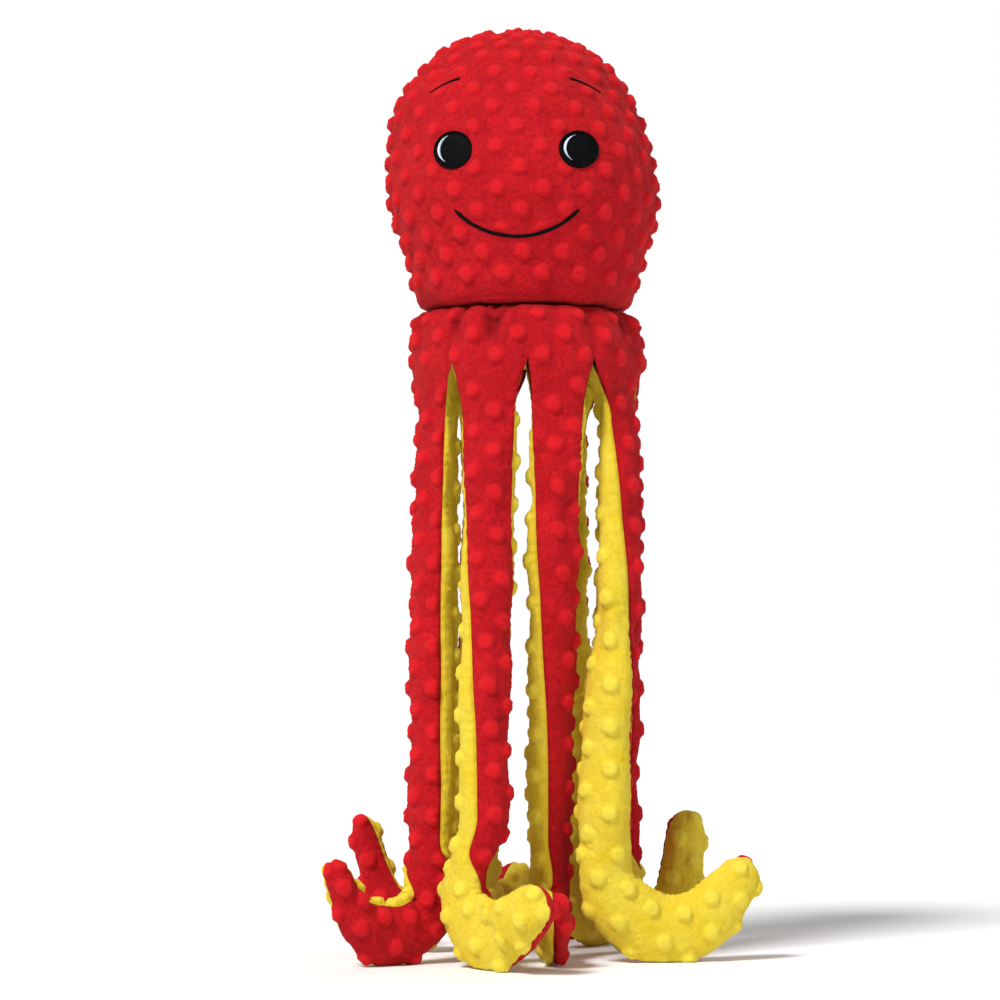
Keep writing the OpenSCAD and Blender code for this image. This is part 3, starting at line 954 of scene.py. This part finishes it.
def plushMaterial(name, nap, look):
    mat = bpy.data.materials.new(name)
    mat.use_nodes = True
    nodes, links = mat.node_tree.nodes, mat.node_tree.links
    shader = nodes["Principled BSDF"]
    shader.inputs["Roughness"].default_value = look["rough"]
    shader.inputs["Sheen Weight"].default_value = look["sheen"]
    shader.inputs["Sheen Roughness"].default_value = 0.45
    shader.inputs["Sheen Tint"].default_value = (*look["sheenTint"], 1)
    shader.inputs["Specular IOR Level"].default_value = 0.15
    pile = nodes.new("ShaderNodeGroup")
    pile.node_tree = nap
    pile.inputs["Grain Scale"].default_value = look["grain"]
    pile.inputs["Brush Scale"].default_value = look["brush"]
    dots, seam = nodes.new("ShaderNodeAttribute"), nodes.new("ShaderNodeAttribute")
    dots.attribute_name = "dots"
    seam.attribute_name = "seam"

    def blendColour(factor, a, b):
        node = nodes.new("ShaderNodeMix")
        node.data_type = "RGBA"
        links.new(factor, node.inputs["Factor"])
        for socket, value in ((node.inputs[6], a), (node.inputs[7], b)):
            if isinstance(value, tuple):
                socket.default_value = (*value, 1)
            else:
                links.new(value, socket)
        return node.outputs[2]

    brushed = blendColour(pile.outputs["Tone"], look["base"], look["light"])
    speck = nodes.new("ShaderNodeMapRange")
    speck.inputs["From Min"].default_value = 0.12
    speck.inputs["From Max"].default_value = 0.38
    speck.inputs["To Min"].default_value = look["speck"]
    speck.inputs["To Max"].default_value = 0.0
    links.new(pile.outputs["Shade"], speck.inputs["Value"])
    grained = blendColour(speck.outputs["Result"], brushed, look["deep"])
    # painted highlight: the colour of the dots' raised tops is lifted toward the light colour by the dots mask
    raised = nodes.new("ShaderNodeMath")
    raised.operation = "MULTIPLY"
    raised.inputs[1].default_value = look["dotHighlight"]
    links.new(dots.outputs["Fac"], raised.inputs[0])
    dotHighlighted = blendColour(raised.outputs[0], grained, look["light"])
    # painted shade: the seam mask darkens the colour toward the deep colour in seam grooves, skirt fold valleys and
    # just under the head
    seamShade = nodes.new("ShaderNodeMath")
    seamShade.operation = "MULTIPLY"
    seamShade.inputs[1].default_value = 0.75
    links.new(seam.outputs["Fac"], seamShade.inputs[0])
    final = blendColour(seamShade.outputs[0], dotHighlighted, look["deep"])
    links.new(final, shader.inputs["Base Color"])
    bump = nodes.new("ShaderNodeBump")
    bump.inputs["Strength"].default_value = look["bump"]
    bump.inputs["Distance"].default_value = 0.0009
    links.new(pile.outputs["Height"], bump.inputs["Height"])
    links.new(bump.outputs["Normal"], shader.inputs["Normal"])
    return mat


def threadMaterial(name, nap, look):
    mat = bpy.data.materials.new(name)
    mat.use_nodes = True
    nodes, links = mat.node_tree.nodes, mat.node_tree.links
    shader = nodes["Principled BSDF"]
    shader.inputs["Roughness"].default_value = look["rough"]
    shader.inputs["Specular IOR Level"].default_value = look["shine"]
    pile = nodes.new("ShaderNodeGroup")
    pile.node_tree = nap
    pile.inputs["Grain Scale"].default_value = 2600
    pile.inputs["Brush Scale"].default_value = 300
    node = nodes.new("ShaderNodeMix")
    node.data_type = "RGBA"
    node.inputs[6].default_value = (*look["base"], 1)
    node.inputs[7].default_value = (*look["light"], 1)
    links.new(pile.outputs["Tone"], node.inputs["Factor"])
    links.new(node.outputs[2], shader.inputs["Base Color"])
    bump = nodes.new("ShaderNodeBump")
    bump.inputs["Strength"].default_value = 0.35
    bump.inputs["Distance"].default_value = 0.0002
    links.new(pile.outputs["Height"], bump.inputs["Height"])
    links.new(bump.outputs["Normal"], shader.inputs["Normal"])
    return mat


buildStage()
print("stage set")
nap = napGroup()
redPlush = plushMaterial("redPlush", nap, {"base": (0.53, 0.004, 0.010), "light": (0.74, 0.009, 0.017),
    "deep": (0.24, 0.001, 0.005), "rough": 0.85, "sheen": 0.13, "sheenTint": (1.0, 0.20, 0.14), "grain": 1500,
    "brush": 55, "dotHighlight": 0.85, "bump": 1.0, "speck": 0.6})
yellowPlush = plushMaterial("yellowPlush", nap, {"base": (0.84, 0.63, 0.026), "light": (0.90, 0.74, 0.07),
    "deep": (0.70, 0.42, 0.010), "rough": 0.85, "sheen": 0.10, "sheenTint": (1.0, 0.9, 0.45), "grain": 1500,
    "brush": 55, "dotHighlight": 0.8, "bump": 1.0, "speck": 0.4})
blackThread = threadMaterial("blackThread", nap, {"base": (0.0015, 0.0015, 0.002),
    "light": (0.004, 0.004, 0.005), "rough": 0.7, "shine": 0.06})
whiteThread = threadMaterial("whiteThread", nap, {"base": (0.62, 0.68, 0.78), "light": (0.75, 0.8, 0.9),
    "rough": 0.5, "shine": 0.2})

headForm = buildHeadForm()
armForms = {name: buildArmForm(name) for name in arms}
print("forms cut")
puffAll()
print("forms stuffed")
headFront = finishHead(headForm, redPlush)
buildFace(headFront, blackThread, whiteThread)
print("head and face done")
for order, (name, form) in enumerate(armForms.items()):
    finishArm(form, name, order, redPlush, yellowPlush)
buildSkirtFloor(yellowPlush)
print("arms and skirt done")
